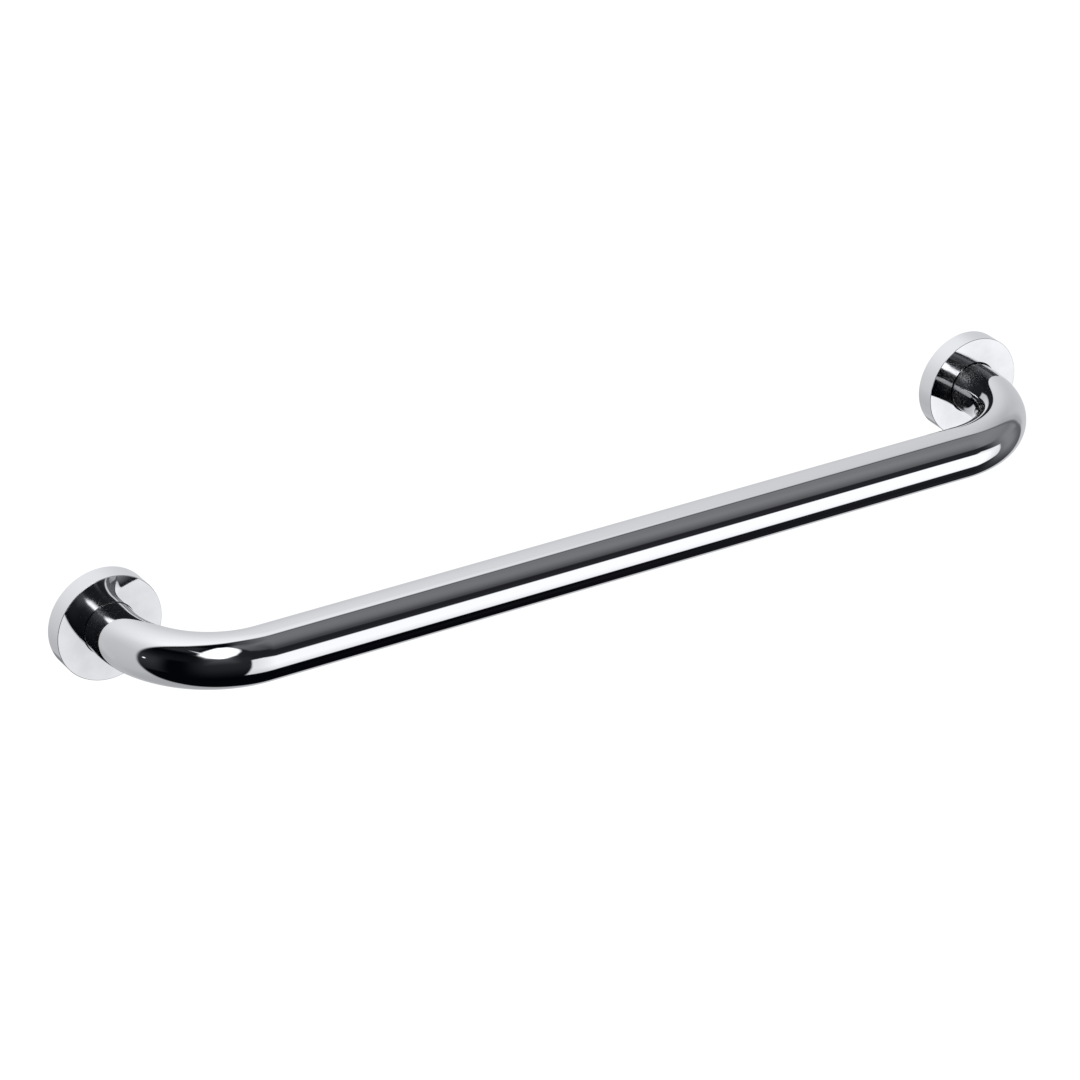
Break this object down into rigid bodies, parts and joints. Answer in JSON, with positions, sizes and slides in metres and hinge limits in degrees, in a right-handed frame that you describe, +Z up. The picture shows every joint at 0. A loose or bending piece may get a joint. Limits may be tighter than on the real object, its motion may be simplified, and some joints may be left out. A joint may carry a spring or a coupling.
{
  "type": "grab bar",
  "caption": "Straight wall grab bar: a chromed tube bent to the wall at both ends and welded to wall plates, with round push-fit covers over the plates.",
  "frame": {"origin": "on the wall, midway between the centres of the two fixings", "axes": "+X along the bar, to the right as seen from the room; +Y into the wall, so the bar stands out to -Y; +Z up"},
  "size_m": [0.665, 0.096, 0.065],
  "materials": {
    "tube_chrome": "polished",
    "cover_chrome": "polished",
    "plate_steel": "satin"
  },
  "bodies": {
    "root": {"grab_tube": "tube_chrome", "left_cover": "cover_chrome", "right_cover": "cover_chrome", "left_wall_plate": "plate_steel", "right_wall_plate": "plate_steel"}
  },
  "joints": []
}
